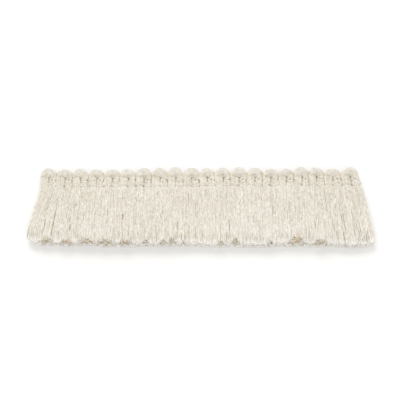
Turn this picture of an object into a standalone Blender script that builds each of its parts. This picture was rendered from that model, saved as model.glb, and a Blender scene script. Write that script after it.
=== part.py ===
"""Ruche trim: a cut length of thick brush fringe with a looped heading, lying flat on a surface.

Metres, +Z up. X runs along the trim, +Y points to the looped edge, the cut ends point to -Y, and
everything rests on the plane Z = 0. The trim is twenty hairpins of soft yarn, side by side. Each
rises as a leg, turns over in a rounded loop at the edge and comes down as a second leg, and both
legs are cut into locks. Three binding threads run along the heading, under the left leg of each
hairpin and over the right one.
"""

import collections
import math
import random

import bmesh
import bpy

MM = 0.001

# Driving sizes, in millimetres.
WIDTH = 43.4
LOOP_PITCH = 8.0
THICKNESS = 4.6
THICKNESS_AT_LOOPS = 5.2
THICKNESS_AT_CUT_ENDS = 7.2
ROW_PITCH = 2.5
THREAD_DIAMETER = 0.7
CLEARANCE = 0.3

# One row for each hairpin, left to right: how far its loop stands above the first binding row, and
# how far the top of the loop leans to the right.
Loop = collections.namedtuple("Loop", "crest lean")
LOOPS = (
    Loop(6.7, 0.0),
    Loop(6.0, 0.3),
    Loop(6.4, 0.1),
    Loop(5.7, 0.1),
    Loop(5.7, 0.2),
    Loop(5.9, 0.0),
    Loop(6.3, -0.1),
    Loop(6.5, -0.1),
    Loop(7.0, -0.1),
    Loop(6.4, -0.2),
    Loop(6.1, 0.1),
    Loop(6.3, -0.2),
    Loop(6.6, -0.3),
    Loop(6.1, 0.0),
    Loop(5.7, 0.0),
    Loop(5.5, -0.1),
    Loop(6.6, -0.2),
    Loop(6.1, -0.5),
    Loop(5.5, -0.4),
    Loop(6.1, 0.0),
)

# Worked out from the driving sizes.
LEG_PITCH = LOOP_PITCH / 2
HALF_LENGTH = LOOP_PITCH * len(LOOPS) / 2
FIRST_ROW = WIDTH / 2 - max(loop.crest for loop in LOOPS)
ROWS = tuple(FIRST_ROW - ROW_PITCH * number for number in range(3))
LAST_ROW = ROWS[-1]
CUT_END = -WIDTH / 2

# The section of the yarn as it lies: how high its sides are widest, and how far its flat underside
# is tucked in, as shares of its thickness and width.
ROUND_SHOULDER = 0.4
SQUARE_SHOULDER = 0.8
TUCK = 0.06
UPPER_STEPS = 4

# At a binding row each leg is drawn in, and the thread lies under it or over it.
LEG_HALF_WIDTH = (LEG_PITCH - CLEARANCE) / 2
PINCHED_HALF_WIDTH = 1.28
PINCHED_TOP = THICKNESS - 0.2
RAISED_BOTTOM = 1.45
LOWERED_TOP = 2.5
THREAD_LIFT = 0.1
THREAD_SINK = 0.5
THREAD_LOW = THREAD_LIFT + THREAD_DIAMETER / 2
THREAD_HIGH = THICKNESS - THREAD_SINK - THREAD_DIAMETER / 2
THREAD_TURN = 0.22

# The loop turns about a small eye between its legs.
EYE_RISE = 0.6
EYE_HEIGHT = 0.3
LOOP_ROUND = 3.4
LOOP_STEPS = 6

# Below the last row each leg opens into locks, side by side and in layers.
LEG_END = LAST_ROW - 2.0
LOCK_COLUMNS = (-1, 1)
LOCK_LAYERS = 3
ROOT_BOTTOM = 0.15
ROOT_WIDTH = 1.2
ROOT_HEIGHT = 1.0
ROOT_LAYER = 1.3
LOCK_GAP = 0.4
BEND_PLACE = 0.4
BEND_SHARE = 0.7
LONGEST_TRIM = 1.5
SIDEWAYS = 0.04
SEED = 11

# The cut ends open out at both ends of the trim, and the last legs lean out to the right.
FLARE = 7.4
FLARE_POWER = 5
SPLAY = 2.4
SPLAY_POWER = 8


def clear_scene():
    for obj in list(bpy.data.objects):
        bpy.data.objects.remove(obj)


def collection_named(name):
    found = bpy.data.collections.new(name)
    bpy.context.scene.collection.children.link(found)
    return found


def yarn(name, colour, roughness):
    material = bpy.data.materials.new(name)
    material.use_nodes = True
    shader = material.node_tree.nodes["Principled BSDF"]
    shader.inputs["Base Color"].default_value = (*colour, 1.0)
    shader.inputs["Roughness"].default_value = roughness
    shader.inputs["Metallic"].default_value = 0.0
    return material


def laid(x, y, z):
    """Where a point of the straight trim, in millimetres, comes to lie, in metres."""
    share = x / HALF_LENGTH
    down_heading = min(max(FIRST_ROW - y, 0.0) / (FIRST_ROW - LAST_ROW), 1.0)
    down_skirt = max(LAST_ROW - y, 0.0) / (LAST_ROW - CUT_END)
    splay = SPLAY * max(share, 0.0) ** SPLAY_POWER * down_heading
    flare = FLARE * math.copysign(abs(share) ** FLARE_POWER, share) * down_skirt
    return ((x + splay + flare - SPLAY / 2) * MM, y * MM, z * MM)


def loft(body, rings):
    """Adds a skin through the rings, and gives back the corners of its two open ends."""
    corners = [[body.verts.new(laid(*point)) for point in ring] for ring in rings]
    for first, second in zip(corners, corners[1:]):
        for index, corner in enumerate(first):
            after = (index + 1) % len(first)
            body.faces.new((corner, first[after], second[after], second[index]))
    return corners[0], corners[-1]


def edges_round(body, ring):
    return [body.edges.get((corner, ring[index - 1])) for index, corner in enumerate(ring)]


def mesh_object(body, name, collection, material):
    bmesh.ops.recalc_face_normals(body, faces=body.faces)
    mesh = bpy.data.meshes.new(name)
    body.to_mesh(mesh)
    body.free()
    mesh.materials.append(material)
    mesh.shade_smooth()
    mesh.set_sharp_from_angle(angle=math.radians(50))
    collection.objects.link(bpy.data.objects.new(name, mesh))


def yarn_section(outer, inner, bottom, top, shoulder):
    """Points round the yarn between two points in plan: rounded above and flat below."""
    outline = [(1 - TUCK, 0.0), (TUCK, 0.0)]
    for step in range(UPPER_STEPS + 1):
        angle = math.pi * step / UPPER_STEPS
        outline.append(((1 - math.cos(angle)) / 2, shoulder + (1 - shoulder) * math.sin(angle)))
    return [
        (
            outer[0] + (inner[0] - outer[0]) * across,
            outer[1] + (inner[1] - outer[1]) * across,
            bottom + (top - bottom) * up,
        )
        for across, up in outline
    ]


def leg_section(x, y, turned, half_width, bottom, top, shoulder=ROUND_SHOULDER):
    outer = (x + turned * half_width, y)
    inner = (x - turned * half_width, y)
    return yarn_section(outer, inner, bottom, top, shoulder)


def leg_sections(x, turned):
    """Sections of one leg, upwards. turned is -1 for the left leg and 1 for the right one."""
    if turned < 0:
        pinched = (PINCHED_HALF_WIDTH, RAISED_BOTTOM, PINCHED_TOP)
    else:
        pinched = (PINCHED_HALF_WIDTH, 0.0, LOWERED_TOP)
    full = (LEG_HALF_WIDTH, 0.0, THICKNESS)
    sections = [leg_section(x, LEG_END, turned, *full, shoulder=SQUARE_SHOULDER)]
    for row in reversed(ROWS):
        sections.append(leg_section(x, row, turned, *pinched))
        if row < FIRST_ROW:
            sections.append(leg_section(x, row + ROW_PITCH / 2, turned, *full))
    return sections


def loop_sections(x, loop):
    """Sections of the loop, fanned out about its eye from the left leg to the right one."""
    eye = FIRST_ROW + EYE_RISE
    spring = FIRST_ROW + loop.crest - LOOP_ROUND
    inner_half = LEG_PITCH / 2 - LEG_HALF_WIDTH
    outer_half = LEG_PITCH / 2 + LEG_HALF_WIDTH
    sections = []
    for step in range(LOOP_STEPS + 1):
        turn = math.pi * step / LOOP_STEPS
        swell = math.sin(turn)
        outer = (x - outer_half * math.cos(turn) + loop.lean * swell, spring + LOOP_ROUND * swell)
        inner = (x - inner_half * math.cos(turn), eye + EYE_HEIGHT * swell)
        top = THICKNESS + (THICKNESS_AT_LOOPS - THICKNESS) * swell
        sections.append(yarn_section(outer, inner, 0.0, top, ROUND_SHOULDER))
    return sections


def lock_section(x, y, width, bottom, height):
    left, right, top = x - width / 2, x + width / 2, bottom + height
    return [(left, y, bottom), (right, y, bottom), (right, y, top), (left, y, top)]


def add_lock(body, leg_x, column, layer, chance):
    """One four-sided lock of the skirt, closed at its cut tip. Gives back its open root."""
    tip_layer = (THICKNESS_AT_CUT_ENDS + CLEARANCE) / LOCK_LAYERS
    tip_height = tip_layer - CLEARANCE
    tip_width = LEG_PITCH / 2 - LOCK_GAP
    x = leg_x + column * LEG_PITCH / 4
    tip_x = x + chance.uniform(-SIDEWAYS, SIDEWAYS)
    tip_y = CUT_END + chance.uniform(0.0, LONGEST_TRIM)
    bend_y = LEG_END + (tip_y - LEG_END) * BEND_PLACE
    root_bottom = ROOT_BOTTOM + layer * ROOT_LAYER
    bend_bottom = layer * (ROOT_LAYER + (tip_layer - ROOT_LAYER) * BEND_SHARE)
    bend_height = ROOT_HEIGHT + (tip_height - ROOT_HEIGHT) * BEND_SHARE
    sections = (
        lock_section(x, LEG_END, ROOT_WIDTH, root_bottom, ROOT_HEIGHT),
        lock_section(x, bend_y, tip_width, bend_bottom, bend_height),
        lock_section(tip_x, tip_y, tip_width, layer * tip_layer, tip_height),
    )
    root, tip = loft(body, sections)
    body.faces.new(tip)
    return root


def add_locks(body, leg_x, leg_end, chance):
    """The locks of one leg, and the end of the leg that their roots are joined to."""
    edges = edges_round(body, leg_end)
    for column in LOCK_COLUMNS:
        for layer in range(LOCK_LAYERS):
            edges += edges_round(body, add_lock(body, leg_x, column, layer, chance))
    bmesh.ops.triangle_fill(body, use_beauty=True, use_dissolve=False, edges=edges)


def add_hairpin(number, x, loop, chance, trim, material):
    """A hairpin of yarn: left leg, loop and right leg in one, with the locks of both legs."""
    left, right = x - LEG_PITCH / 2, x + LEG_PITCH / 2
    sections = leg_sections(left, -1) + loop_sections(x, loop) + leg_sections(right, 1)[::-1]
    body = bmesh.new()
    left_end, right_end = loft(body, sections)
    add_locks(body, left, left_end, chance)
    add_locks(body, right, right_end, chance)
    mesh_object(body, f"loop_{number:02d}", trim, material)


def thread_route(row):
    """Points along a binding thread: under each left leg, then up and over the right one."""
    end = HALF_LENGTH - CLEARANCE
    points = [(-end, row, THREAD_LOW)]
    for gap in range(1, 2 * len(LOOPS)):
        x = -HALF_LENGTH + gap * LEG_PITCH
        before, after = (THREAD_LOW, THREAD_HIGH) if gap % 2 else (THREAD_HIGH, THREAD_LOW)
        toward = math.copysign(THREAD_TURN, after - before)
        points.append((x - THREAD_TURN, row, before))
        points.append((x, row, before + toward))
        points.append((x, row, after - toward))
        points.append((x + THREAD_TURN, row, after))
    points.append((end, row, THREAD_HIGH))
    return [laid(*point) for point in points]


def add_thread(number, row, trim, material):
    curve = bpy.data.curves.new(f"binding_{number}", "CURVE")
    curve.dimensions = "3D"
    curve.bevel_depth = THREAD_DIAMETER / 2 * MM
    curve.bevel_resolution = 0
    curve.use_fill_caps = True
    curve.materials.append(material)
    route = thread_route(row)
    spline = curve.splines.new("POLY")
    spline.points.add(len(route) - 1)
    for point, place in zip(spline.points, route):
        point.co = (*place, 1.0)
    trim.objects.link(bpy.data.objects.new(f"binding_{number}", curve))


def main():
    clear_scene()
    trim = collection_named("ruche trim")
    ivory = yarn("ivory viscose yarn", (0.79, 0.74, 0.64), 0.75)
    binding = yarn("ivory binding thread", (0.74, 0.68, 0.57), 0.6)
    chance = random.Random(SEED)
    for index, loop in enumerate(LOOPS):
        x = -HALF_LENGTH + (index + 0.5) * LOOP_PITCH
        add_hairpin(index + 1, x, loop, chance, trim, ivory)
    for index, row in enumerate(ROWS):
        add_thread(index + 1, row, trim, binding)


main()
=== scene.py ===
"""Ruche trim, dressed: every yarn of the brush fringe and its looped heading, and the plied threads
that bind them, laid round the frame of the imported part.
"""

import math

import bpy
import numpy as np
from mathutils import Matrix, Vector


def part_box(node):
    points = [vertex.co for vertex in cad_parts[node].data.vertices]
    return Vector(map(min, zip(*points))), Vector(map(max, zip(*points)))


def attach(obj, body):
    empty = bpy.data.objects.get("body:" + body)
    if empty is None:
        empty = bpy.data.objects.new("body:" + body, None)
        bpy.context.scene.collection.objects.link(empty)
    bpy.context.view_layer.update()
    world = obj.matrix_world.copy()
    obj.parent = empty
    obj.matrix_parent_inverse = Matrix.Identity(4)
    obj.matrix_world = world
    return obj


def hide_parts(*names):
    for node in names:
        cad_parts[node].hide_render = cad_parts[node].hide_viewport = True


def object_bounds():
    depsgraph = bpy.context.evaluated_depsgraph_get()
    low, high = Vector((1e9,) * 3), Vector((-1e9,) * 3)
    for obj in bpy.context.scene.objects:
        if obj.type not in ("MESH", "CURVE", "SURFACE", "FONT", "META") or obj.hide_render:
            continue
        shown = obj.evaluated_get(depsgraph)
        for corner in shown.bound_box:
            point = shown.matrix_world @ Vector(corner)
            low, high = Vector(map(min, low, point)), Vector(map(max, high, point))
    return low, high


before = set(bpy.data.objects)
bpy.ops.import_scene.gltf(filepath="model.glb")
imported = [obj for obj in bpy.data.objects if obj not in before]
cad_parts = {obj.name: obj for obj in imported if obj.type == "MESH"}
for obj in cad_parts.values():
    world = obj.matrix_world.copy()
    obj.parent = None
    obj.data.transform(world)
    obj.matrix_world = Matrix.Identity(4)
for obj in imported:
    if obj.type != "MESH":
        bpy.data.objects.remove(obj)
cad_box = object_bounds()

MM = 0.001

# How far each binding row has crept up towards the loops, in millimetres.
ROW_RISES = (0.4, 1.0, 0.5)


def row_place(number):
    """The distance of a binding row from the middle of the trim, in millimetres."""
    low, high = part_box(f"binding_{number}")
    return (low.y + high.y) / 2 / MM + ROW_RISES[number - 1]


# Sizes of the trim in millimetres. What the frame holds is read from it.
LOOP_COUNT = 20
LOOP_PITCH = 8.0
LEG_PITCH = LOOP_PITCH / 2
HALF_LENGTH = LOOP_PITCH * LOOP_COUNT / 2
ROWS = [row_place(number) for number in (1, 2, 3)]
FIRST_ROW = ROWS[0]
LAST_ROW = ROWS[-1]
ROW_PITCH = ROWS[0] - ROWS[1]
CUT_END = cad_box[0].y / MM
SKIRT_LENGTH = LAST_ROW - CUT_END
BRUSH_THICKNESS = cad_box[1].z / MM
THICKNESS = 4.7
THICKNESS_AT_LOOPS = 5.7

# How far the top of each loop leans to the right, left to right along the trim.
LEANS = (
    0.0, 0.1, -0.2, 0.1, 0.1, 0.1, 0.0, -0.2, -0.3, 0.0,
    -0.1, -0.2, 0.0, 0.3, -0.2, 0.0, -0.2, -0.4, 0.0, 0.3,
)

# How far each hairpin sits to the right of its even place in the row.
ASIDE = (
    -0.25, 0.0, 0.0, 0.0, 0.0, 0.0, 0.0, 0.0, 0.0, 0.0,
    0.0, 0.0, 0.0, 0.0, 0.0, 0.0, -0.2, -1.0, -1.0, -0.5,
)

# The spun yarn: its radius, by what share that varies, and how many sides its tube has on the
# outside of a hairpin and in the second layer.
YARN_RADIUS = 0.25
THICKNESS_SPREAD = 0.14
YARN_SIDES = 4
SECOND_SIDES = 3

# How many yarns lie round a hairpin, in a second layer under those and astray over them, how many
# more line the outer side of the first and of the last one, and how many short ends fill each leg.
OUTSIDE_YARNS = 40
SECOND_YARNS = 30
STRAY_YARNS = 4
END_YARNS = 14
CUT_YARNS = 72

# How far out from the middle of the section each kind lies, where 1 is its outline, and over which
# share of the way round it: 0 is its inside, 0.25 its top and 0.5 its outside.
OUTSIDE_DEPTHS = (0.985, 1.0)
SECOND_DEPTHS = (0.93, 0.96)
STRAY_DEPTHS = (1.02, 1.05)
END_DEPTHS = (0.95, 0.98)
CUT_DEPTH = 0.95
STRAY_SHARES = (0.12, 0.38)
END_SHARES = (0.36, 0.64)

# How many points a yarn has from one station of the heading to the next, and down the skirt.
OUTSIDE_STEPS = (2, 22)
SECOND_STEPS = (1, 14)

# The plain core of a hairpin: how far out it lies, its sides, its tone, and the places of its
# sections down the skirt, from 0 at the last row to 1 at the tips.
CORE_DEPTH = 0.78
CORE_SIDES = 12
CORE_TONE = 0.5
CORE_PLACES = (0.04, 0.12, 0.3, 0.5, 0.7, 0.86, 0.95)

# The short ends: the places of their points down the skirt, and how much thicker the cut has
# frayed them.
CUT_PLACES = (0.78, 0.88, 0.95, 1.0)
FRAYED = 1.3

# How square the section of a hairpin is, where 2 is an ellipse: in the loop, in the legs, between
# the rows and in the skirt, and how much squarer by the tips, but for the first and the last leg.
LOOP_SQUARENESS = 2.05
LEG_SQUARENESS = 2.8
BETWEEN_SQUARENESS = 3.6
SKIRT_SQUARENESS = 5.0
SQUARER_AT_TIPS = 7.0

# How far a leg reaches from its middle to its outside and to its inside, where the eye is: between
# the rows, in the shoulder and where a row draws it in. The first row draws a right leg in less,
# and the first leg of the trim keeps one outside. The spread makes all legs differ.
LEG_OUTSIDE = 2.25
LEG_INSIDE = 2.25
LEG_HALF_WIDTH = 2.28
PINCHED_OUTSIDE = 2.06
PINCHED_INSIDE = 1.98
FIRST_INSIDE = 2.15
END_OUTSIDE = 2.2
PINCH_SPREAD = 0.14

# A row runs under the left leg, which it raises off the floor, and over the right one, which it
# presses down, most of all in the first row. It does so lower down by this share of its bow, and
# under the bow of the first thread the leg swells less, and lower down by this much.
PINCHED_TOP = THICKNESS - 0.3
RAISED_BOTTOM = 1.1
LOWERED_TOP = 4.4
LOWERED_FIRST = 3.4
PRESSED_IN_BOW = 0.7
UNDER_BOW = 1.2

# The eye of a loop: its height over the first row, how far it rises in the middle, and its half
# width. From hairpin to hairpin, height and width differ within these limits.
EYE_RISE = (-0.4, 0.3)
EYE_HEIGHT = 0.3
EYE_HALF_WIDTH = (0.2, 0.7)

# The loop round it: how square its outline is, how far it stands above the solid one, how high over
# the first row it starts to turn, how much thinner it gets to the right, and its steps.
LOOP_OUTLINE = 2.4
LOOP_RISE = 0.1
LOOP_START = 1.5
LOOP_TILT = 0.5
LOOP_STEPS = 6

# The shoulders, just above the first row: how high the inside and the outside of the left one lie
# over it, and how much lower the right one does.
SHOULDER_RISE = (0.55, 1.35)
SHOULDER_DROP = 1.8

# How unevenly yarns lie round a hairpin, in shares of the space between two of them, how much they
# wander along it, in shares of the way round, how much closer they lie on top, and in how many
# steps the way round is measured.
TURN_JITTER = 0.13
TURN_WANDER = 0.003
TOP_SHARE = 0.15
ROUND_STEPS = 3600

# The skirt opens out below the last row, over this share of its length, to this half width of a
# leg, which is less at the ends of the trim. Points along a yarn lie closer near the row.
BLOOM = 0.035
SKIRT_HALF_WIDTH = 2.8
END_HALF_WIDTH_LEFT = 1.5
END_HALF_WIDTH_RIGHT = 2.1
SKIRT_EASE = 1.25

# How the skirt is trimmed: how far it reaches past the cut end of the solids, and how much more so
# on the right; waves along the cut, each with a sixth of its length and its height; and the left
# and the right corner, each with its width and how far up it is cut there, in a curve.
TIP_REACH = 1.9
LONGER_RIGHT = 0.85
TRIM_WAVES = ((9.0, 0.2), (3.7, 0.2), (2.1, 0.15))
CORNERS = ((-1, 5.0, 3.0), (1, 3.5, 1.6))
CORNER_CURVE = 1.5

# The yarns of a leg fall in locks, side by side and in layers. Locks and yarns lean, in millimetres
# at the tips, and are trimmed unevenly. Yarns are drawn to the middle of their lock, and crimped
# sideways and up in many waves, which are full from this share of the skirt on. None lies higher
# than this share of the thickness.
LOCK_COLUMNS = 3
LOCK_LAYERS = 3
LOCK_LEAN = 0.06
YARN_LEAN = 0.12
STRAY_LEAN = 1.2
LEAN_CURVE = 1.4
LOCK_TRIM = 0.3
YARN_TRIM = 0.4
LOCK_PULL = 0.02
CRIMP = 0.08
LIFT = 0.015
SHORT_WAVES = 10
SHORT_WAVES_FADE = 0.5
CRIMPED_FROM = 0.125
HIGHEST_SHARE = 1.06

# Both ends of the trim open out towards the tips, the lower yarns less than the upper ones. The
# right end also splays to the right, in its loops by this share. The brush is lower at both ends,
# by this share of its thickness. A power says how closely each of these keeps to the ends.
FLARE_LEFT = 7.6
FLARE_RIGHT = 5.2
FLARE_POWER = 5
UNDER_FLARE_LEFT = 3.2
UNDER_FLARE_RIGHT = 0.8
UNDER_FLARE_POWER = 10
UNDER_FLARE_CURVE = 1.5
SPLAY = 2.4
SPLAY_POWER = 8
SPLAY_IN_LOOPS = 0.4
END_SLUMP = 0.2
END_SLUMP_POWER = 16

# The upper tips sink towards the floor and hide the cut face, one yarn more than the next, except
# at some places: how far along the trim each of those is, how wide, and how much shorter its upper
# yarns are cut. The face is closed again this many half widths away from the middle of the place,
# and the cut is even again this many widths away.
DRAPE_FROM = 0.86
DRAPE_SHARE = 0.45
DRAPE_CURVE = 1.5
FALL = (0.5, 1.15)
OPEN_FACES = (
    (-71.2, 3.5, 1.2), (-63.5, 4.0, 0.5), (-54.7, 6.0, 0.4), (-45.8, 6.5, 0.8), (-36.5, 5.0, 0.2),
    (-26.6, 2.5, 0.2), (-18.1, 3.0, 0.4), (-13.6, 3.0, 0.9), (-8.0, 1.0, 0.2), (10.5, 2.5, 0.2),
    (17.8, 3.0, 1.6), (34.7, 2.0, 0.2), (47.6, 6.0, 2.2), (59.1, 5.0, 0.6),
)
FACE_REACH = 1.5
STEP_REACH = 1.2

# Places where the skirt parts: how far along the trim, and from where to where down the skirt. Each
# side moves by this much, over this distance, and less within this length of both ends.
PARTINGS = (
    (-69.6, 0.0, -20.0), (-62.3, -11.0, -19.0), (-46.2, -10.0, -18.0), (-37.9, -5.0, -13.0),
    (14.9, -7.0, -20.0), (57.3, -11.0, -18.0), (65.6, -13.0, -20.0),
)
PARTING_GAP = 0.25
PARTING_REACH = 0.9
PARTING_EASE = 3.0

# The binding thread is two plies twisted together: their radius, how far each lies from the middle
# of the thread, the length of one turn, their sides and their tones.
PLY_RADIUS = 0.23
PLY_OFFSET = 0.19
PLY_TURN = 3.1
PLY_SIDES = 5
PLY_TONES = (0.35, 0.65)

# Its way: how high it lies under the left legs and over the right ones, how steeply it goes from
# one to the other, how far short of the ends of the heading it stops, and how far apart its points
# are, in the end and while its length is measured.
THREAD_LOW = 0.5
THREAD_HIGH = 4.45
FIRST_THREAD_HIGH = 4.05
THREAD_STEEPNESS = 5
THREAD_END = 0.3
THREAD_STEP = 0.19
FINE_STEP = 0.02

# Over each right leg it lies this much nearer to the loops. From there it bows towards the cut ends
# and slants up to the right, differently each time. The first thread does more of both, and where
# it hangs onto the second one they keep this distance.
BOW_LIFT = 0.3
BOW_LEAST = 0.2
BOW_MOST = 1.05
SLANT_LEAST = -0.4
SLANT_MOST = 1.1
FIRST_BOW = 2.3
FIRST_SLANT = 1.0
THREADS_APART = 0.65

# Painted shade: a raw tan darkens the yarn where shade falls deep within the brush, in its core and
# where it is cut. A span in millimetres gives where the painted shade starts and where it is full.
SHADE_WITHIN_BRUSH = 0.9
HIDDEN_BELOW_TOP = (1.2, 2.2)
HIDDEN_ABOVE_FLOOR = (0.5, 1.0)
HIDDEN_FROM_ENDS = (4.0, 5.0)
HIDDEN_ABOVE_FIRST_ROW = (2.0, 1.0)
HIDDEN_ABOVE_CUT = (6.0, 9.0)
CORE_PAINTED_SHADE = 0.9
CORE_FROM_ENDS = (2.0, 6.0)

# A cut tip gets painted shade, the warm shade between the cut ends, over this length, on one yarn
# more than on the next, where the face lies open and from this height up. The edge of each such
# place is uneven.
TIP_PAINT_REACH = 0.5
TIP_SHADE_AMOUNT = (0.15, 0.74)
TIP_SHADE_FROM_HEIGHT = (1.0, 3.0)
TIP_SHADE_EDGE = 0.5

# The other tips get painted light, paler as if lit from the front, and so do the loops and the
# skirt towards its tips.
TIP_PAINTED_LIGHT = 0.8
LOOP_PAINTED_LIGHT = 0.33
LOOP_LIGHT_FROM = (0.0, 4.0)
SKIRT_PAINTED_LIGHT = 0.2

# Painted shade darkens it a little again above the first row, between two hairpins and on the
# right flank of each, which lies away from the light: from the middle of the hairpin, and over
# the row.
SHADE_BETWEEN_HAIRPINS = 0.24
BETWEEN_FROM = (2.8, 3.6)
BETWEEN_ABOVE_ROW = (3.0, 2.0)
SHADE_ON_FLANK = 0.17
FLANK_FROM = (1.8, 2.8)
VALLEY_SHADE_ABOVE_ROW = (-0.5, 1.0)

# How much a yarn's tone stands out from those beside it.
TONE_CONTRAST = 0.9

# The map for baking: faces side by side across it, the longest strip of faces, the rows that each
# strip leaves free for its two end faces and a gap, and how far those reach in their cells.
HAIRPIN_MAP_CELLS = 225
BINDING_MAP_CELLS = 138
LONGEST_STRIP = 150
SPARE_ROWS = 3
END_FACE_REACH = (0.5, 0.4)

# The angle in degrees from which an edge is sharp. Plies and cores are smooth all round.
SHARP_ANGLE = 80

# The looks of the yarn. Its slubs: their length in millimetres, how much of its shade they make
# against its own tone, which part of the noise turns from dark to light, and how far apart in the
# noise yarns of unlike tones lie.
SLUB_LENGTH = 1.7
SLUB_SHARE = 0.58
SLUB_EDGE = (0.4, 0.6)
NOISE_APART = 977.0

# Its dye lies unevenly in patches: their size in millimetres and their share of the shade.
DYE_PATCH = 12
DYE_SHARE = 0.2

# Its twist: the colour of the painted shade in the groove between the plies and that of the plies
# beside it, how deep that painted shade shows, and its half width and that of a ply, in turns.
GROOVE_SHADE_COLOUR = "DDD3C0"
PLY_COLOUR = "FFFFFF"
GROOVE_SHARE = 0.6
GROOVE_HALF_WIDTH = 0.12
PLY_HALF_WIDTH = 0.25

# Its loose fibres: how fine they are across and along the yarn, their share of the relief, and how
# high the relief is in millimetres.
FIBRE_FINENESS = (6.0, 1.2, 1.0)
FIBRE_SHARE = 0.4
RELIEF = 0.06

# The colour of the painted light, and that of the sheen.
PAINTED_LIGHT_COLOUR = "FCFAF6"
SHEEN_COLOUR = "E8F0FF"

# Each hairpin has a random seed of its own.
SEED = 7
SEEDS_APART = 1000


def ramp(values, span):
    """Goes from 0 at the start of the span to 1 at its end."""
    return np.clip((values - span[0]) / (span[1] - span[0]), 0, 1)


def lengths_along(paths):
    """How far each point of each path is from the start of it."""
    steps = np.linalg.norm(np.diff(paths, axis=1), axis=-1)
    return np.concatenate([np.zeros((len(paths), 1)), np.cumsum(steps, axis=1)], axis=1)


def smooth_through(stations, steps):
    """A smooth line through the stations, with that many steps from each one to the next."""
    ends = (2 * stations[:1] - stations[1:2], stations, 2 * stations[-1:] - stations[-2:-1])
    padded = np.concatenate(ends)[:, None]
    before, here, there, after = padded[:-3], padded[1:-2], padded[2:-1], padded[3:]
    t = (np.arange(steps) / steps)[None, :, None]
    line = 0.5 * (
        2 * here
        + (there - before) * t
        + (2 * before - 5 * here + 4 * there - after) * t**2
        + (3 * here - before - 3 * there + after) * t**3
    )
    return np.concatenate([line.reshape(-1, stations.shape[-1]), stations[-1:]])


def wander(chance, count, places, waves=3, fading=1.0):
    """Random waves along each of count yarns, about one unit high, lower the shorter they are."""
    total = np.zeros((count, len(places)))
    for wave in range(1, waves + 1):
        phase = chance.uniform(0, 2 * math.pi, (count, 1))
        height = chance.normal(0, 1, (count, 1)) / wave**fading
        total += height * np.sin(places[None] * wave * math.pi + phase)
    return total


def rounded(values, squareness=LEG_SQUARENESS):
    """Turns a cosine or sine into that of the rounded box."""
    return np.sign(values) * np.abs(values) ** (2 / squareness)


def angles_round(shares):
    """Angles at which yarns lie close together round a leg, a little closer on top, for shares of
    the way round it from 0 to 1."""
    dense = np.linspace(0, 360, ROUND_STEPS + 1)
    turned = np.radians(dense)
    outline = np.stack([rounded(np.cos(turned)), rounded(np.sin(turned))], axis=-1)
    length = lengths_along(outline[None])[0]
    closer = shares + TOP_SHARE * np.cos(2 * math.pi * shares) / (2 * math.pi)
    return np.interp(closer % 1 * length[-1], length, dense)


def thickness(chance, count, places):
    """The radius of each of count yarns, the same all along it."""
    spread = 1 + THICKNESS_SPREAD * chance.uniform(-1, 1, (count, 1))
    return np.repeat(YARN_RADIUS * spread, places, axis=1)


def unlike_neighbours(chance, count):
    """A tone from 0 to 1 for each yarn, which stands out from the yarns on both sides of it."""
    tones = chance.uniform(0, 1, count)
    beside = (np.roll(tones, 1) + np.roll(tones, -1)) / 2
    return np.clip(0.5 + TONE_CONTRAST * (tones - beside), 0, 1)


def beside_paths(paths, reference):
    """Two directions at each point of each path, square to it and to each other."""
    along = np.gradient(paths, axis=1)
    along /= np.linalg.norm(along, axis=-1, keepdims=True)
    side = np.cross(along, np.array(reference))
    side /= np.linalg.norm(side, axis=-1, keepdims=True)
    return side, np.cross(side, along)


def tube_rings(paths, radii, sides, reference=(0.0, 0.0, 1.0)):
    """Rings of points round each path, in planes square to it."""
    side, rise = beside_paths(paths, reference)
    angles = 2 * math.pi * np.arange(sides) / sides
    around = np.cos(angles)[:, None] * side[:, :, None] + np.sin(angles)[:, None] * rise[:, :, None]
    return paths[:, :, None] + radii[:, :, None, None] * around


def loop_middle(number):
    """How far along the trim the middle of a hairpin is."""
    return -HALF_LENGTH + (number - 0.5) * LOOP_PITCH


def leg_middle(number, side):
    """How far along the trim the left leg (-1) or the right one (1) of a hairpin is."""
    return loop_middle(number) + side * LEG_PITCH / 2


def ends_trim(leg):
    """Whether the leg with its middle there is the first or the last one of the trim."""
    return abs(leg) > HALF_LENGTH - LEG_PITCH


def laid(points):
    """Where points of the straight trim come to lie: both ends open out, the right one leans."""
    share = points[..., 0] / HALF_LENGTH
    y = points[..., 1]
    below_first = np.clip((FIRST_ROW - y) / (FIRST_ROW - LAST_ROW), 0.0, 1.0)
    down_heading = SPLAY_IN_LOOPS + (1 - SPLAY_IN_LOOPS) * below_first
    down_skirt = np.maximum(LAST_ROW - y, 0.0) / SKIRT_LENGTH
    splay = SPLAY * np.maximum(share, 0.0) ** SPLAY_POWER * down_heading
    flare = np.where(share < 0, FLARE_LEFT, FLARE_RIGHT) * np.abs(share) ** FLARE_POWER * down_skirt
    moved = points.copy()
    middles = loop_middle(np.arange(LOOP_COUNT) + 1)
    moved[..., 0] += splay + np.sign(share) * flare - SPLAY / 2
    moved[..., 0] += np.interp(points[..., 0], middles, ASIDE)
    moved[..., 1] += flare**2 / (2 * SKIRT_LENGTH)
    return moved


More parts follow.
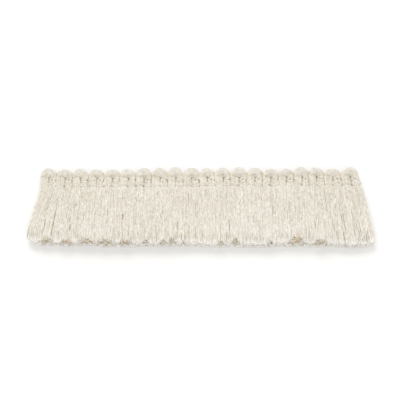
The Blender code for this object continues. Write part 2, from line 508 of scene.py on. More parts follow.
def leg_stations(number, side, bows, slants, chance):
    """Stations up one leg of a hairpin, at each row and halfway to the next one."""
    middle = leg_middle(number, side)
    outermost = number == 1 and side < 0
    stations = []
    for row, bow, slant in zip(reversed(ROWS), reversed(bows), reversed(slants)):
        y = row if side < 0 else row + BOW_LIFT - PRESSED_IN_BOW * bow
        spread = chance.normal(0, PINCH_SPREAD, 3)
        outside = middle + side * (END_OUTSIDE if outermost else PINCHED_OUTSIDE) + spread[0]
        inside = middle - side * PINCHED_INSIDE + spread[1]
        bottom, top = (RAISED_BOTTOM, PINCHED_TOP) if side < 0 else (0.0, LOWERED_TOP)
        if row == FIRST_ROW and side > 0:
            inside = middle - side * FIRST_INSIDE + spread[1]
            top = LOWERED_FIRST
        top += spread[2]
        outside_y = y + slant if side > 0 else y
        stations.append((outside, outside_y, inside, y, bottom, top, LEG_SQUARENESS))
        if row != FIRST_ROW:
            outside = middle + side * (END_OUTSIDE if outermost else LEG_OUTSIDE)
            inside = middle - side * LEG_INSIDE
            y = row + ROW_PITCH / 2
            top = THICKNESS + chance.normal(0, PINCH_SPREAD)
            if side > 0 and row == ROWS[1]:
                y -= UNDER_BOW
                top -= THICKNESS - LOWERED_TOP
            stations.append((outside, y, inside, y, 0.0, top, BETWEEN_SQUARENESS))
    return stations


def hairpin_stations(number, bows, slants, chance):
    """Stations along a hairpin, up its left leg, round its loop and down: outer x and y, inner x
    and y, bottom, top and squareness of the section."""
    x = loop_middle(number)
    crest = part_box(f"loop_{number:02d}")[1].y / MM + LOOP_RISE
    lean = LEANS[number - 1]
    eye_rise = chance.uniform(*EYE_RISE)
    eye_half = chance.uniform(*EYE_HALF_WIDTH)
    legs = {side: leg_stations(number, side, bows, slants, chance) for side in (-1, 1)}
    near_eye, outside = (FIRST_ROW + rise for rise in SHOULDER_RISE)
    for side in (-1, 1):
        middle = leg_middle(number, side)
        across = side * LEG_HALF_WIDTH
        top = THICKNESS - (LOOP_TILT if side > 0 else 0.0)
        lower = SHOULDER_DROP if side > 0 else 0.0
        shoulder = (
            middle + across, outside - lower, middle - across, near_eye - lower,
            0.0, top, LEG_SQUARENESS,
        )
        legs[side].append(shoulder)
    outer_half = LEG_PITCH / 2 + LEG_HALF_WIDTH
    turn_height = crest - FIRST_ROW - LOOP_START
    loop = []
    for step in range(LOOP_STEPS + 1):
        turn = math.pi * step / LOOP_STEPS
        swell = math.sin(turn)
        reach = outer_half * rounded(np.cos(turn), LOOP_OUTLINE)
        outer = (x - reach + lean * swell, crest - turn_height * (1 - swell))
        inner = (x - eye_half * math.cos(turn), FIRST_ROW + eye_rise + EYE_HEIGHT * swell)
        top = THICKNESS + (THICKNESS_AT_LOOPS - THICKNESS) * swell
        top -= LOOP_TILT * (turn / math.pi) ** 2
        loop.append((*outer, *inner, 0.0, top, LOOP_SQUARENESS))
    return np.array(legs[-1] + loop + legs[1][::-1])


def heading_paths(sections, angles, depths, radius):
    """Yarns along a hairpin, at angles round its section (90 on top) and depths from its middle."""
    outer, inner = sections[None, :, 0:2], sections[None, :, 2:4]
    bottom, top, squareness = (sections[None, :, column] for column in (4, 5, 6))
    turned = np.radians(angles)
    width = np.linalg.norm(inner - outer, axis=-1)
    across = 0.5 + rounded(np.cos(turned), squareness) * depths * (0.5 - radius / width)
    up = 0.5 + rounded(np.sin(turned), squareness) * depths * (0.5 - radius / (top - bottom))
    plan = outer + (inner - outer) * across[..., None]
    return np.concatenate([plan, (bottom + (top - bottom) * up)[..., None]], axis=-1)


def uneven_trim(x):
    """How far up from the lowest cut the scissors went along the trim, in millimetres."""
    waves = sum(height * (1 + np.sin(x / length + length)) for length, height in TRIM_WAVES)
    corners = 0.0
    for end, width, height in CORNERS:
        from_corner = HALF_LENGTH - end * x
        corners = corners + height * np.clip(1 - from_corner / width, 0, 1) ** CORNER_CURVE
    return waves + corners


def open_face(x):
    """How fully, from 0 to 1, the cut face lies open at a place along the trim."""
    gaps = [
        np.clip(FACE_REACH - np.abs(x - place) / (width / 2), 0, 1)
        for place, width, back in OPEN_FACES
    ]
    return np.max(gaps, axis=0)


def cut_back(x):
    """How much shorter the upper yarns are cut at a place along the trim, in millimetres."""
    gaps = [
        back * np.clip(STEP_REACH - np.abs(x - place) / width, 0, 1)
        for place, width, back in OPEN_FACES
    ]
    return np.max(gaps, axis=0)


def parted(points):
    """Opens the skirt at its partings."""
    x, y = points[..., 0], points[..., 1]
    moved = points.copy()
    for place, top, bottom in PARTINGS:
        within = ramp(top - y, (0, PARTING_EASE)) * ramp(y - bottom, (0, PARTING_EASE))
        away = x - place
        push = PARTING_GAP * np.exp(-((away / PARTING_REACH) ** 2)) * within
        moved[..., 0] += np.where(away < 0, -push, push)
    return moved


def skirt_places(steps):
    """Places along a skirt yarn, from 0 at the last row to 1 at its tip, closer near the row."""
    return np.linspace(0, 1, steps + 1)[1:] ** SKIRT_EASE


def in_leg(side, angles, depths, squareness):
    """Where yarns lie in the section of a leg: from -1 at its left to 1 at its right, and from 0
    on the floor to 1 on top."""
    turned = np.radians(angles)
    across = -side * rounded(np.cos(turned)) * depths
    up = 0.5 + 0.5 * rounded(np.sin(turned), squareness) * depths
    return across, up


def skirt_paths(leg, side, angles, depths, places, sway=0.0, rise=0.0, trim=0.0, fall=1.0):
    """Yarns of one leg from below the last row to their cut tips. The legs get squarer on the way
    down, and lie close side by side."""
    v = places[None]
    bloom = 1 - np.exp(-v / BLOOM)
    squareness = LEG_SQUARENESS + (SKIRT_SQUARENESS - LEG_SQUARENESS) * bloom
    if not ends_trim(leg):
        squareness = squareness + SQUARER_AT_TIPS * v
    across, up = in_leg(side, angles[:, None], depths[:, None], squareness)
    pinched_half = (PINCHED_OUTSIDE + PINCHED_INSIDE) / 2
    middle = leg + side * (PINCHED_OUTSIDE - PINCHED_INSIDE) / 2 * (1 - bloom)
    at_end = (across * leg > 0) & ends_trim(leg)
    end_half = END_HALF_WIDTH_LEFT if leg < 0 else END_HALF_WIDTH_RIGHT
    reach = np.where(at_end, end_half, SKIRT_HALF_WIDTH)
    half = pinched_half + (reach - pinched_half) * bloom - YARN_RADIUS
    xs = middle + across * half + sway
    end_share = abs(leg) / HALF_LENGTH
    most_under = UNDER_FLARE_LEFT if leg < 0 else UNDER_FLARE_RIGHT
    under_flare = most_under * end_share**UNDER_FLARE_POWER
    xs -= math.copysign(under_flare, leg) * (1 - up) * v**UNDER_FLARE_CURVE

    root_low, root_high = (RAISED_BOTTOM, PINCHED_TOP) if side < 0 else (0.0, LOWERED_TOP)
    slumped = BRUSH_THICKNESS * (1 - END_SLUMP * end_share**END_SLUMP_POWER)
    high = THICKNESS + (slumped - THICKNESS) * v
    low_z = root_low * (1 - bloom)
    high_z = root_high * (1 - bloom) + high * bloom
    over = ramp(v, (DRAPE_FROM, 1)) ** DRAPE_CURVE
    high_z = high_z * (1 - DRAPE_SHARE * fall * (1 - open_face(xs[:, -1:])) * over)
    upward = np.clip(up + rise, 0, HIGHEST_SHARE)
    least = YARN_RADIUS * (1 + THICKNESS_SPREAD)
    zs = low_z + least + (high_z - low_z - 2 * least) * upward

    past_solids = TIP_REACH + LONGER_RIGHT * xs[:, -1] / HALF_LENGTH
    tip = CUT_END - past_solids + uneven_trim(xs[:, -1]) + trim
    tip = tip + cut_back(xs[:, -1]) * np.clip(up[:, -1], 0, 1)
    ys = LAST_ROW + (tip[:, None] - LAST_ROW) * v
    return parted(np.stack([xs, ys, zs], axis=-1))


def loose_ends(chance, leg, side, angles, depths, places, stray=0.0):
    """Skirt yarns as they fall: in locks that lean and are trimmed together, each yarn crimped."""
    count = len(angles)
    across, up = in_leg(side, angles, depths, LEG_SQUARENESS)
    columns = np.clip(((across + 1) / 2 * LOCK_COLUMNS).astype(int), 0, LOCK_COLUMNS - 1)
    layers = np.clip((up * LOCK_LAYERS).astype(int), 0, LOCK_LAYERS - 1)
    lock = columns * LOCK_LAYERS + layers
    locks = LOCK_COLUMNS * LOCK_LAYERS
    v = places[None]
    lean = chance.normal(0, LOCK_LEAN, locks)[lock] + chance.normal(0, YARN_LEAN, count)
    lean += chance.normal(0, 1, count) * stray
    if ends_trim(leg):
        lean = np.where(lean * leg > 0, -lean, lean)
    trim = chance.uniform(0, LOCK_TRIM, locks)[lock] + np.abs(chance.normal(0, YARN_TRIM, count))
    centre = (columns + 0.5) / LOCK_COLUMNS * 2 - 1
    pull = LOCK_PULL * v**2 * (centre - across)[:, None] * SKIRT_HALF_WIDTH
    freed = np.minimum(v / CRIMPED_FROM, 1)
    crimp = CRIMP * wander(chance, count, places, SHORT_WAVES, SHORT_WAVES_FADE) * freed
    rise = LIFT * wander(chance, count, places, SHORT_WAVES, SHORT_WAVES_FADE) * freed
    sway = lean[:, None] * v**LEAN_CURVE + pull + crimp
    fall = chance.uniform(*FALL, (count, 1))
    return skirt_paths(leg, side, angles, depths, places, sway, rise, trim, fall)


def hidden(points):
    """How deep each point lies among the yarns, from 0 where it can be seen from outside to 1."""
    x, y, z = points[..., 0], points[..., 1], points[..., 2]
    down_skirt = np.clip((LAST_ROW - y) / SKIRT_LENGTH, 0, 1)
    top = THICKNESS + (BRUSH_THICKNESS - THICKNESS) * down_skirt
    below_top = ramp(top - z, HIDDEN_BELOW_TOP)
    above_floor = ramp(z, HIDDEN_ABOVE_FLOOR)
    from_ends = ramp(HALF_LENGTH - np.abs(x), HIDDEN_FROM_ENDS)
    below_loops = ramp(y - FIRST_ROW, HIDDEN_ABOVE_FIRST_ROW)
    above_cut = ramp(y - CUT_END, HIDDEN_ABOVE_CUT)
    return below_top * above_floor * from_ends * below_loops * above_cut


def paint_light_and_shade(chance, paths, from_tips):
    """How much painted light and shade each point gets, from -1 to 1: full painted shade where it
    lies deep among the yarns and at an open tip, a little in the valleys and on the right flanks of
    the hairpins, and below 0 painted light, where the yarn is made paler than usual."""
    x, y, z = paths[..., 0], paths[..., 1], paths[..., 2]
    open_tip_shade = chance.uniform(*TIP_SHADE_AMOUNT, (len(paths), 1))
    aside = chance.normal(0, TIP_SHADE_EDGE, (len(paths), 1))
    at_tip = np.exp(-from_tips / TIP_PAINT_REACH)
    open_here = open_face(x + aside) * ramp(z, TIP_SHADE_FROM_HEIGHT)
    # Painted shade on open cut tips, for the warm shade between the cut ends.
    shade_tan = open_tip_shade * at_tip * open_here
    # Painted light on the other tips, as if lit from the front.
    painted_light = TIP_PAINTED_LIGHT * at_tip * (1 - open_tip_shade * open_here)
    # Painted shade deep among the yarns, where little light reaches.
    within = SHADE_WITHIN_BRUSH * hidden(paths) * (1 - at_tip)
    # Painted shade in the valleys between hairpins and on their right flanks.
    above_row = y - FIRST_ROW
    from_middle = (x + HALF_LENGTH) % LOOP_PITCH - LEG_PITCH
    flank = SHADE_ON_FLANK * ramp(from_middle, FLANK_FROM)
    between = SHADE_BETWEEN_HAIRPINS * ramp(np.abs(from_middle), BETWEEN_FROM)
    between = between * ramp(above_row, BETWEEN_ABOVE_ROW)
    valley_shade = (between + flank) * ramp(above_row, VALLEY_SHADE_ABOVE_ROW)
    # Painted light on the loops and on the skirt towards its tips.
    in_loop = ramp(above_row, LOOP_LIGHT_FROM)
    down_skirt = np.clip((LAST_ROW - y) / SKIRT_LENGTH, 0, 1)
    painted_brightening = LOOP_PAINTED_LIGHT * in_loop + SKIRT_PAINTED_LIGHT * down_skirt**2 * (1 - at_tip)
    return within + (1 - within) * shade_tan - painted_light - (painted_brightening - valley_shade) * (1 - within)


class Skein:
    """Gathers yarns as rings of points, and makes one mesh of them."""

    def __init__(self, map_cells):
        """map_cells: how many faces lie side by side across the map for baking."""
        self.bundles = []
        self.map_cells = map_cells

    def add(self, rings, tones, brown):
        """rings: yarn, place, corner, xyz. tones: one for each yarn. Then the painted light and
        shade, one value for each place.
        """
        self.bundles.append((rings, tones, brown))

    def make(self, name, material, slot, *nodes):
        """Makes the piece, which stands for those nodes."""
        points, corners, sizes, all_tones, all_painted_shading, yarn_map = [], [], [], [], [], []
        total = 0
        for rings, tones, brown in self.bundles:
            count, places, sides = rings.shape[:3]
            length = lengths_along(rings.mean(axis=2))
            start = total + (np.arange(count) * places * sides)[:, None, None]
            base = start + (np.arange(places - 1) * sides)[None, :, None]
            corner = np.arange(sides)[None, None, :]
            after = (corner + 1) % sides
            quads = [base + corner, base + sides + corner, base + sides + after, base + after]
            first = start[:, 0] + np.arange(sides)
            last = first + (places - 1) * sides
            corners += [np.stack(quads, axis=-1).ravel(), first.ravel(), last[:, ::-1].ravel()]
            sizes += [np.full(count * (places - 1) * sides, 4), np.full(count * 2, sides)]
            points.append(rings.reshape(-1, 3))
            all_tones.append(np.repeat(tones, places * sides))
            all_painted_shading.append(np.repeat(brown.ravel(), sides))
            yarn_map += self.round_and_along(count, places, sides, length)
            total += count * places * sides
        mesh = bpy.data.meshes.new(name)
        mesh.vertices.add(total)
        mesh.vertices.foreach_set("co", (np.concatenate(points) * MM).astype(np.float32).ravel())
        corners = np.concatenate(corners).astype(np.int32)
        sizes = np.concatenate(sizes)
        starts = np.concatenate([[0], np.cumsum(sizes)[:-1]]).astype(np.int32)
        mesh.loops.add(len(corners))
        mesh.loops.foreach_set("vertex_index", corners)
        mesh.polygons.add(len(sizes))
        mesh.polygons.foreach_set("loop_start", starts)
        mesh.update(calc_edges=True)
        for title, values in (("tone", all_tones), ("brown", all_painted_shading)):
            layer = mesh.attributes.new(title, "FLOAT", "POINT")
            layer.data.foreach_set("value", np.concatenate(values).astype(np.float32))
        for title, parts in (("yarn", yarn_map), ("OFBake", self.side_by_side())):
            uv = np.concatenate([part.reshape(-1, 2) for part in parts])
            mesh.uv_layers.new(name=title).data.foreach_set("uv", uv.astype(np.float32).ravel())
        mesh.shade_smooth()
        mesh.set_sharp_from_angle(angle=math.radians(SHARP_ANGLE))
        mesh.materials.append(material)
        piece = bpy.data.objects.new(name, mesh)
        bpy.context.scene.collection.objects.link(piece)
        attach(piece, "root")
        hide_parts(*nodes)

    @staticmethod
    def round_and_along(count, places, sides, length):
        """Places in a map that runs once round each yarn and, in millimetres, along it."""
        around = np.arange(sides) / sides
        nearer = np.broadcast_to(length[:, :-1, None], (count, places - 1, sides))
        farther = np.broadcast_to(length[:, 1:, None], (count, places - 1, sides))
        left = np.broadcast_to(around, (count, places - 1, sides))
        right = left + 1 / sides
        quads = np.stack([left, nearer, left, farther, right, farther, right, nearer], axis=-1)
        ends = np.stack(np.broadcast_arrays(around, length[:, [0, -1], None]), axis=-1)
        return [quads, ends[:, 0], ends[:, 1]]

    def side_by_side(self):
        """Places in a map where every face has room of its own: each yarn is a strip of cells, cut
        where it gets too long, and the strips stand side by side on shelves."""
        shelves = []
        for rings, tones, brown in self.bundles:
            count, places, sides = rings.shape[:3]
            cuts = math.ceil((places - 1) / LONGEST_STRIP)
            rows = math.ceil((places - 1) / cuts)
            on_shelf = self.map_cells // (sides + 1)
            shelves.append((cuts, rows, on_shelf, math.ceil(count * cuts / on_shelf)))
        height = 1 / sum((rows + SPARE_ROWS) * number for cuts, rows, on_shelf, number in shelves)
        width = 1 / self.map_cells
        reach_u, reach_v = END_FACE_REACH
        parts = []
        base = 0
        for (rings, tones, brown), (cuts, rows, on_shelf, number) in zip(self.bundles, shelves):
            count, places, sides = rings.shape[:3]

            def corner_of(yarn, segment):
                """The column and the row of the cell of a face."""
                strip = yarn * cuts + segment // rows
                column = (strip % on_shelf) * (sides + 1)
                row = base + (strip // on_shelf) * (rows + SPARE_ROWS) + 1 + segment % rows
                return column, row

            yarn = np.arange(count)[:, None, None]
            column, row = corner_of(yarn, np.arange(places - 1)[None, :, None])
            u = (column + np.arange(sides)[None, None, :]) * width
            v = np.broadcast_to(row * height, u.shape)
            quads = [u, v, u, v + height, u + width, v + height, u + width, v]
            parts.append(np.stack(quads, axis=-1))
            # The two end faces take the cells below and above the strip.
            turn = 2 * math.pi * np.arange(sides) / sides
            for segment, step in ((0, -0.5), (places - 2, 1.5)):
                column, row = corner_of(np.arange(count), segment)
                u = (column[:, None] + 1 + reach_u * np.cos(turn)) * width
                v = (row[:, None] + step + reach_v * np.sin(turn)) * height
                parts.append(np.stack([u, v], axis=-1))
            base += number * (rows + SPARE_ROWS)
        return parts


def long_yarns(chance, skein, number, stations, shares, depths, sides, steps, stray=0.0):
    """Adds yarns that run from tip to tip: up the left leg, round the loop and down the right leg.
    shares says how far round the section each lies, and depths how far out."""
    count = len(shares)
    heading_steps, skirt_steps = steps
    sections = smooth_through(stations, heading_steps)
    swerve = TURN_WANDER * wander(chance, count, np.linspace(0, 1, len(sections)))
    turned = angles_round(shares[:, None] + swerve)
    heading = heading_paths(sections, turned, depths[:, None], YARN_RADIUS)
    heading[..., 2] = np.maximum(heading[..., 2], YARN_RADIUS * (1 + THICKNESS_SPREAD))
    places = skirt_places(skirt_steps)
    ends = {}
    for side, angle in ((-1, turned[:, 0]), (1, turned[:, -1])):
        leg = leg_middle(number, side)
        ends[side] = loose_ends(chance, leg, side, angle, depths, places, stray)
    straight = np.concatenate([ends[-1][:, ::-1], heading, ends[1]], axis=1)
    length = lengths_along(straight)
    brown = paint_light_and_shade(chance, straight, np.minimum(length, length[:, -1:] - length))
    radii = thickness(chance, count, straight.shape[1])
    skein.add(tube_rings(laid(straight), radii, sides), unlike_neighbours(chance, count), brown)


def core(skein, number, stations):
    """Adds the bulk of the yarn within a hairpin, a thick strand that ends short of the tips."""
    angles = np.repeat(np.linspace(0, 360, CORE_SIDES + 1)[:-1, None], len(stations), axis=1)
    strand = heading_paths(stations, angles, CORE_DEPTH, YARN_RADIUS)
    places = np.array(CORE_PLACES)
    for side in (-1, 1):
        leg = leg_middle(number, side)
        depths = np.full(CORE_SIDES, CORE_DEPTH)
        end = skirt_paths(leg, side, angles[:, 0], depths, places)
        strand = np.concatenate([end[:, ::-1], strand] if side < 0 else [strand, end], axis=1)
    rings = laid(strand).transpose(1, 0, 2)[None]
    from_ends = HALF_LENGTH - np.abs(strand[..., 0].mean(axis=0, keepdims=True))
    # The core gets painted shade, for the shade deep within the brush, less of it near the ends of
    # the trim.
    skein.add(rings, np.array([CORE_TONE]), CORE_PAINTED_SHADE * ramp(from_ends, CORE_FROM_ENDS))


def cut_ends(chance, skein, number):
    """Adds the short ends of the yarns within, which show in the cut face."""
    for side in (-1, 1):
        angles = chance.uniform(0, 360, CUT_YARNS)
        depths = CUT_DEPTH * np.sqrt(chance.uniform(0, 1, CUT_YARNS))
        leg = leg_middle(number, side)
        ending = loose_ends(chance, leg, side, angles, depths, np.array(CUT_PLACES))
        ending[..., 2] = np.maximum(ending[..., 2], FRAYED * YARN_RADIUS * (1 + THICKNESS_SPREAD))
        length = lengths_along(ending)
        radii = FRAYED * thickness(chance, CUT_YARNS, ending.shape[1])
        tones = chance.uniform(0, 1, CUT_YARNS)
        brown = paint_light_and_shade(chance, ending, length[:, -1:] - length)
        skein.add(tube_rings(laid(ending), radii, YARN_SIDES), tones, brown)


def hairpin(number, bows, slants, material):
    """All the yarn of one hairpin."""
    chance = np.random.default_rng(SEED * SEEDS_APART + number)
    stations = hairpin_stations(number, bows, slants, chance)
    skein = Skein(HAIRPIN_MAP_CELLS)
    layers = (
        (OUTSIDE_YARNS, OUTSIDE_DEPTHS, YARN_SIDES, OUTSIDE_STEPS),
        (SECOND_YARNS, SECOND_DEPTHS, SECOND_SIDES, SECOND_STEPS),
    )
    for yarns, span, sides, steps in layers:
        shares = (np.arange(yarns) + chance.uniform(-TURN_JITTER, TURN_JITTER, yarns)) / yarns
        depths = chance.uniform(*span, yarns)
        long_yarns(chance, skein, number, stations, shares, depths, sides, steps)
    shares = chance.uniform(*STRAY_SHARES, STRAY_YARNS)
    depths = chance.uniform(*STRAY_DEPTHS, STRAY_YARNS)
    astray = (YARN_SIDES, OUTSIDE_STEPS, STRAY_LEAN)
    long_yarns(chance, skein, number, stations, shares, depths, *astray)
    if number in (1, LOOP_COUNT):
        shares = np.linspace(*END_SHARES, END_YARNS)
        depths = chance.uniform(*END_DEPTHS, END_YARNS)
        long_yarns(chance, skein, number, stations, shares, depths, YARN_SIDES, SECOND_STEPS)
    core(skein, number, stations)
    cut_ends(chance, skein, number)
    skein.make(f"hairpin_{number:02d}", material, "yarn", f"loop_{number:02d}")


def binding_route(row, bows, slants):
    """The middle of a binding thread: under each left leg, then up and over the right one in a bow
    that hangs towards the cut ends."""
    end = HALF_LENGTH - THREAD_END
    xs = np.arange(-end, end, FINE_STEP)
    leg = np.floor((xs + HALF_LENGTH) / LEG_PITCH).astype(int)
    over = leg % 2 == 1
    off_middle = (xs + HALF_LENGTH - (leg + 0.5) * LEG_PITCH) / (LEG_PITCH / 2)
    arch = np.where(over, 1 - np.abs(off_middle) ** THREAD_STEEPNESS, 0.0)
    bow = bows[leg // 2] * arch * (1 - off_middle**2) - BOW_LIFT * arch
    bow -= slants[leg // 2] * arch * (1 + off_middle) / 2
    high = FIRST_THREAD_HIGH if row == FIRST_ROW else THREAD_HIGH
    zs = THREAD_LOW + (high - THREAD_LOW) * arch
    route = np.stack([xs, row - bow, zs], axis=-1)
    length = lengths_along(route[None])[0]
    even = np.arange(0, length[-1], THREAD_STEP)
    return np.stack([np.interp(even, length, route[:, axis]) for axis in range(3)], axis=-1)


def binding(number, bows, slants, material):
    """A binding thread of two plies, twisted together along its route."""
    across_trim = (0.0, 1.0, 0.0)
    route = binding_route(ROWS[number - 1], bows, slants)[None]
    side, rise = beside_paths(route, across_trim)
    length = lengths_along(route)
    skein = Skein(BINDING_MAP_CELLS)
    for ply, tone in enumerate(PLY_TONES):
        angle = (2 * math.pi * (length / PLY_TURN + ply / 2))[..., None]
        path = laid(route + PLY_OFFSET * (np.cos(angle) * side + np.sin(angle) * rise))
        radii = np.full(path.shape[:2], PLY_RADIUS)
        brown = np.zeros(path.shape[:2])
        rings = tube_rings(path, radii, PLY_SIDES, across_trim)
        skein.add(rings, np.array([tone]), brown)
    skein.make(f"binding_thread_{number}", material, "binding", f"binding_{number}")


def colour(hex_value):
    """A material colour from its sRGB hex value."""
    parts = [int(hex_value[index : index + 2], 16) / 255 for index in (0, 2, 4)]
    linear = [c / 12.92 if c <= 0.04045 else ((c + 0.055) / 1.055) ** 2.4 for c in parts]
    return (*linear, 1.0)


def add_node(tree, kind, inputs, **settings):
    """Adds a node with its settings. Each of its inputs is linked to a socket or set to a value."""
    node = tree.nodes.new(kind)
    for name, value in settings.items():
        setattr(node, name, value)
    for key, value in inputs.items():
        if isinstance(value, bpy.types.NodeSocket):
            tree.links.new(value, node.inputs[key])
        else:
            node.inputs[key].default_value = value
    return node


def spun_yarn(name, dark, light, shade_tan, ply_turn, roughness, sheen):
    """A material of two-ply spun yarn, carded, spun and twisted: dull fibres that catch a soft
    sheen along the thread, each yarn a shade lighter or darker than the next, broken up along its
    length by its twist and its slubs, with painted shade in a raw tan where it lies within or is
    cut, and painted light in a pale colour on the loops, the lower skirt and the other tips."""
    material = bpy.data.materials.new(name)
    material.use_nodes = True
    tree = material.node_tree
    shader = tree.nodes["Principled BSDF"]
    tone = add_node(tree, "ShaderNodeAttribute", {}, attribute_name="tone").outputs["Fac"]
    brown = add_node(tree, "ShaderNodeAttribute", {}, attribute_name="brown").outputs["Fac"]
    place = add_node(tree, "ShaderNodeTexCoord", {}).outputs["Object"]
    yarn = add_node(tree, "ShaderNodeUVMap", {}, uv_map="yarn").outputs["UV"]
    split = add_node(tree, "ShaderNodeSeparateXYZ", {"Vector": yarn})
    around, along = split.outputs["X"], split.outputs["Y"]

    # Slubs: thicker and thinner places some 2 mm long, different on each yarn.
    apart = add_node(tree, "ShaderNodeMath", {0: tone, 1: NOISE_APART}, operation="MULTIPLY")
    own = add_node(
        tree, "ShaderNodeCombineXYZ", {"X": around, "Y": along, "Z": apart.outputs["Value"]}
    )
    slubs = add_node(
        tree,
        "ShaderNodeTexNoise",
        {"Vector": own.outputs["Vector"], "Scale": 1 / SLUB_LENGTH, "Detail": 1.5},
    )
    low, high = SLUB_EDGE
    clear = add_node(
        tree,
        "ShaderNodeMapRange",
        {"Value": slubs.outputs["Fac"], "From Min": low, "From Max": high},
    )

    # The dye lies unevenly, in patches of some 12 mm, and each yarn has a tone of its own.
    patches = add_node(
        tree, "ShaderNodeTexNoise", {"Vector": place, "Scale": 1 / (DYE_PATCH * MM), "Detail": 2.0}
    )
    mixed = add_node(
        tree, "ShaderNodeMix", {"Factor": SLUB_SHARE, "A": tone, "B": clear.outputs["Result"]},
        data_type="FLOAT",
    )
    dyed = add_node(
        tree,
        "ShaderNodeMix",
        {"Factor": DYE_SHARE, "A": mixed.outputs["Result"], "B": patches.outputs["Fac"]},
        data_type="FLOAT",
    )
    # The colours of a mix node are its inputs 6 and 7, and the mixed one is its output 2.
    shade = add_node(
        tree, "ShaderNodeMix", {0: dyed.outputs["Result"], 6: colour(dark), 7: colour(light)},
        data_type="RGBA",
    )

    # The twist: a groove between the two plies, which winds round the yarn, darkened with painted
    # shade and raised in the relief.
    turns = add_node(tree, "ShaderNodeMath", {0: along, 1: ply_turn}, operation="DIVIDE")
    winding = add_node(
        tree, "ShaderNodeMath", {0: turns.outputs["Value"], 1: around}, operation="ADD"
    )
    from_groove = add_node(
        tree, "ShaderNodeMath", {0: winding.outputs["Value"], 1: PLY_HALF_WIDTH},
        operation="PINGPONG",
    )
    groove = add_node(
        tree,
        "ShaderNodeMapRange",
        {"Value": from_groove.outputs["Value"], "From Min": 0.0, "From Max": GROOVE_HALF_WIDTH},
        interpolation_type="SMOOTHSTEP",
    )
    groove_shade = add_node(
        tree,
        "ShaderNodeMix",
        {0: groove.outputs["Result"], 6: colour(GROOVE_SHADE_COLOUR), 7: colour(PLY_COLOUR)},
        data_type="RGBA",
    )
    grooved = add_node(
        tree, "ShaderNodeMix", {0: GROOVE_SHARE, 6: shade.outputs[2], 7: groove_shade.outputs[2]},
        data_type="RGBA", blend_type="MULTIPLY",
    )

    # Painted shade in a raw tan within and between the hairpins and in some cut tips, and painted
    # light in a pale colour on the other tips, the loops and the lower skirt.
    darker = add_node(
        tree, "ShaderNodeMix", {0: brown, 6: grooved.outputs[2], 7: colour(shade_tan)},
        data_type="RGBA",
    )
    painted_light = add_node(tree, "ShaderNodeMath", {0: brown, 1: -1.0}, operation="MULTIPLY")
    whole = add_node(
        tree,
        "ShaderNodeMix",
        {0: painted_light.outputs["Value"], 6: darker.outputs[2], 7: colour(PAINTED_LIGHT_COLOUR)},
        data_type="RGBA",
    )
    tree.links.new(whole.outputs[2], shader.inputs["Base Color"])

    # Fine fibres along the yarn, and the groove, raise its surface.
    drawn = add_node(tree, "ShaderNodeMapping", {"Vector": yarn, "Scale": FIBRE_FINENESS})
    fibres = add_node(
        tree, "ShaderNodeTexNoise", {"Vector": drawn.outputs["Vector"], "Scale": 2.0, "Detail": 3.0}
    )
    height = add_node(
        tree,
        "ShaderNodeMix",
        {"Factor": FIBRE_SHARE, "A": groove.outputs["Result"], "B": fibres.outputs["Fac"]},
        data_type="FLOAT",
    )
    bump = add_node(
        tree,
        "ShaderNodeBump",
        {"Strength": 0.5, "Distance": RELIEF * MM, "Height": height.outputs["Result"]},
    )
    tree.links.new(bump.outputs["Normal"], shader.inputs["Normal"])
    shader.inputs["Roughness"].default_value = roughness
    shader.inputs["Specular IOR Level"].default_value = 0.35
    shader.inputs["Sheen Weight"].default_value = sheen
    shader.inputs["Sheen Roughness"].default_value = 0.45
    shader.inputs["Sheen Tint"].default_value = colour(SHEEN_COLOUR)
    return material


# The side of the sheet of paper under the trim, in metres.
FLOOR_SIDE = 6.0


def pale_floor():
    """A sheet of matt white paper, far larger than the trim, so that no edge of it shows."""
    bpy.ops.mesh.primitive_plane_add(size=FLOOR_SIDE, location=(0, 0, 0))
    floor = bpy.context.object
    floor.name = "floor"
    material = bpy.data.materials.new("matt white paper")
    material.use_nodes = True
    shader = material.node_tree.nodes["Principled BSDF"]
    shader.inputs["Base Color"].default_value = colour("F5F5F4")
    shader.inputs["Roughness"].default_value = 0.9
    shader.inputs["Specular IOR Level"].default_value = 0.1
    floor.data.materials.append(material)


# Light: the white surround, a trace warm, and three wide soft lamps: one high behind, one low
# behind with cooler light, and one in front. Each has a power in watts, a colour, a width and a
# height in metres and a direction to it, and all stand at one distance in metres.
SURROUND = 0.775
SURROUND_TINT = (1.0, 0.992, 0.985, 1.0)
LAMPS = (
    ("soft lamp behind", 8.5, "FFFDFA", (0.9, 0.8), (-0.14, 0.72, 0.75)),
    ("soft lamp low behind", 3.0, "B8D4FF", (0.8, 0.4), (-0.25, 0.9, 0.25)),
    ("soft lamp in front", 5.2, "FFFDFA", (1.6, 0.8), (0.1, -0.82, 0.57)),
)
LAMP_DISTANCE = 1.4


def studio_light():
    """A white surround on all sides, and the lamps."""
    world = bpy.data.worlds.new("white surround")
    world.use_nodes = True
    background = world.node_tree.nodes["Background"]
    background.inputs["Color"].default_value = SURROUND_TINT
    background.inputs["Strength"].default_value = SURROUND
    bpy.context.scene.world = world
    for name, power, tint, (width, height), direction in LAMPS:
        data = bpy.data.lights.new(name, "AREA")
        data.color = colour(tint)[:3]
        data.shape = "RECTANGLE"
        data.size = width
        data.size_y = height
        data.energy = power
        lamp = bpy.data.objects.new(name, data)
        lamp.location = Vector(direction).normalized() * LAMP_DISTANCE
        lamp.rotation_euler = Vector(direction).to_track_quat("Z", "Y").to_euler()
        bpy.context.scene.collection.objects.link(lamp)


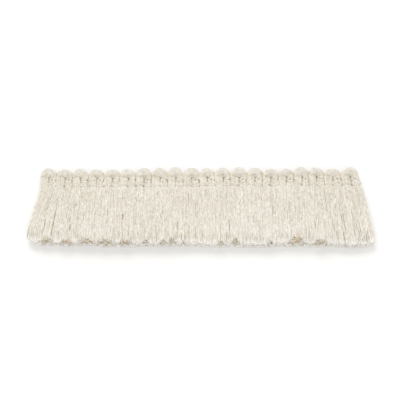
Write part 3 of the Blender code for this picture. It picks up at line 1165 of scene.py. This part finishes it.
# Camera: a long lens that looks down at the trim from the side of its cut ends, in millimetres,
# metres and degrees.
CAMERA_LENS = 135
CAMERA_SENSOR = 36
CAMERA_NEAREST = 0.01
CAMERA_DISTANCE = 0.784
CAMERA_ELEVATION = 60
CAMERA_ROLL = -0.34
CAMERA_AIM = Vector((3.15, -0.5, 0.0)) * MM


def camera():
    """Sets up the camera."""
    data = bpy.data.cameras.new("camera")
    data.lens = CAMERA_LENS
    data.sensor_width = CAMERA_SENSOR
    data.clip_start = CAMERA_NEAREST
    eye = bpy.data.objects.new("camera", data)
    elevation = math.radians(CAMERA_ELEVATION)
    back = Vector((0, -math.cos(elevation), math.sin(elevation)))
    roll = Matrix.Rotation(math.radians(CAMERA_ROLL), 3, "Z").to_quaternion()
    turned = back.to_track_quat("Z", "Y") @ roll
    eye.location = CAMERA_AIM + back * CAMERA_DISTANCE
    eye.rotation_euler = turned.to_euler()
    bpy.context.scene.collection.objects.link(eye)
    bpy.context.scene.camera = eye


def main():
    """Makes the camera, the yarn of the trim, the floor and the light."""
    camera()
    ivory = spun_yarn(
        "spun ivory viscose yarn",
        dark="C7BFAA",
        light="FCFAF5",
        # the tan of the painted shade within the brush and in open cut tips
        shade_tan="E1C69A",
        ply_turn=2.4,
        roughness=0.62,
        sheen=0.4,
    )
    thread = spun_yarn(
        "plied ivory binding thread",
        dark="ECE6DA",
        light="F8F6F1",
        shade_tan="C8A67A",
        ply_turn=0.9,
        roughness=0.5,
        sheen=0.3,
    )
    chance = np.random.default_rng(SEED)
    bows = chance.uniform(BOW_LEAST, BOW_MOST, (LOOP_COUNT, len(ROWS)))
    slants = chance.uniform(SLANT_LEAST, SLANT_MOST, (LOOP_COUNT, len(ROWS)))
    bows[:, 0] += FIRST_BOW
    slants[:, 0] += FIRST_SLANT
    # The first thread hangs onto the second one and pushes it down.
    pushed = bows[:, 0] - (slants[:, 0] - slants[:, 1]) / 2 - ROW_PITCH + THREADS_APART
    bows[:, 1] = np.maximum(bows[:, 1], pushed)
    for number in range(1, LOOP_COUNT + 1):
        hairpin(number, bows[number - 1], slants[number - 1], ivory)
    for number in range(1, len(ROWS) + 1):
        binding(number, bows[:, number - 1], slants[:, number - 1], thread)
    pale_floor()
    studio_light()
    bpy.context.scene.view_settings.view_transform = "Standard"


main()
